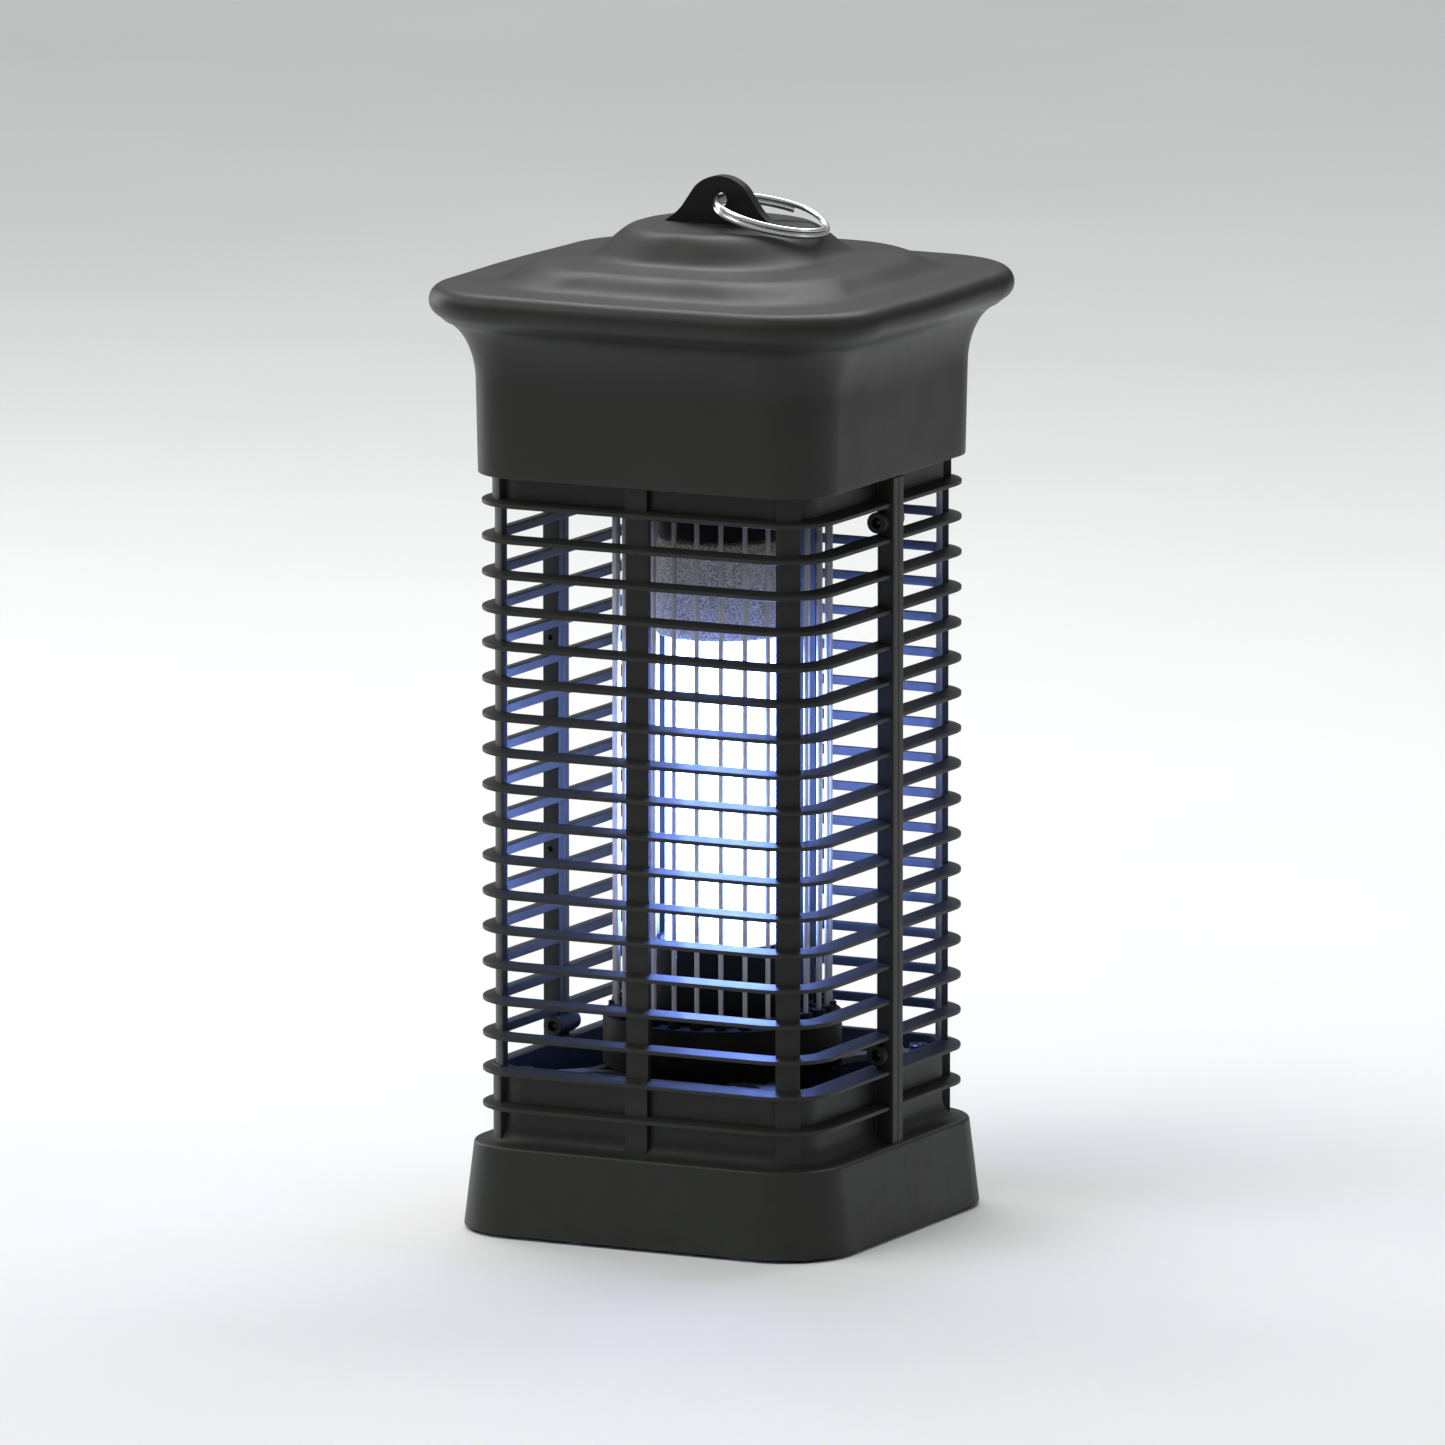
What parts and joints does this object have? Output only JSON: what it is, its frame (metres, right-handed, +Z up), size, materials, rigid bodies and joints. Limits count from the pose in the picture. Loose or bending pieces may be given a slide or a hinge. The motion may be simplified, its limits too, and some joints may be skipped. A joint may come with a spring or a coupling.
{
  "type": "electric bug zapper",
  "caption": "Lantern-shaped electric insect killer: flared roof with hanging ring, square finned cage round a rod grid and UV lamp, flared base with catch tray.",
  "frame": {"origin": "floor level under the middle of the base", "axes": "+Z up, -Y the front, where the screw bosses of the cage halves open"},
  "size_m": [0.1498, 0.1498, 0.3162],
  "materials": {
    "housing_plastic": "satin moulded charcoal plastic",
    "lug_plastic": "black moulded plastic",
    "insulator_plastic": "black moulded insulating plastic",
    "ring_chrome": "bright nickel-plated spring wire",
    "grid_steel": "drawn bright steel rod",
    "screw_steel": "zinc-plated steel",
    "bracket_steel": "pressed zinc-plated steel",
    "spring_steel": "spring steel strip",
    "brass": "pressed brass",
    "lamp_glass": "frosted glass, glowing blue-white",
    "tube_glass": "phosphor-coated discharge tube",
    "lamp_plastic": "off-white heat-resistant plastic",
    "board": "green circuit board",
    "ferrite": "sintered ferrite",
    "copper": "enamelled copper winding",
    "capacitor": "dipped film capacitor",
    "diode": "moulded diode",
    "resistor": "coated resistor",
    "fuse_glass": "glass fuse tube",
    "terminal": "green terminal block",
    "wire_red": "red silicone insulation",
    "wire_black": "black silicone insulation",
    "wire_white": "white silicone insulation",
    "foot_rubber": "black rubber"
  },
  "bodies": {
    "housing": {"roof_cap": "housing_plastic", "hanging_lug": "lug_plastic", "lug_clamp_plate": "screw_steel", "lug_screws": "screw_steel", "front_shell": "housing_plastic", "rear_shell": "housing_plastic", "shell_screws": "screw_steel", "chassis_plate": "insulator_plastic", "roof_screws": "screw_steel", "grid_top_insulator": "insulator_plastic", "insulator_screws": "screw_steel", "bus_ring_live": "brass", "bus_ring_return": "brass", "grid_rods_live": "grid_steel", "grid_rods_return": "grid_steel", "grid_base": "insulator_plastic", "base_brackets": "bracket_steel", "bracket_screws": "screw_steel", "lamp_envelope": "lamp_glass", "lamp_tubes": "tube_glass", "lamp_housing": "lamp_plastic", "lamp_ballast": "board", "lamp_cap": "brass", "lamp_contact": "brass", "lamp_socket": "insulator_plastic", "socket_sleeve": "brass", "socket_contact": "brass", "socket_screws": "screw_steel", "circuit_board": "board", "board_pillars": "brass", "board_screws": "screw_steel", "transformer_core": "ferrite", "transformer_winding": "copper", "hv_capacitors": "capacitor", "diodes": "diode", "resistors": "resistor", "fuse": "fuse_glass", "fuse_clips": "brass", "terminal_block": "terminal", "hv_lead_live": "wire_red", "hv_lead_return": "wire_black", "lamp_leads": "wire_white", "cord_gland": "insulator_plastic", "gland_nut": "insulator_plastic", "tray_clips": "spring_steel", "rubber_feet": "foot_rubber"},
    "ring": {"split_ring": "ring_chrome"},
    "tray": {"insect_tray": "housing_plastic"}
  },
  "joints": [
    {"name": "ring_swing", "type": "hinge", "parent": "housing", "child": "ring", "pos_m": [0, 0, 0.309], "axis": [0, -1, 0], "range_deg": [0, 207]},
    {"name": "tray_slide", "type": "slide", "parent": "housing", "child": "tray", "axis": [0, 0, -1], "range_m": [0, 0.04]}
  ]
}
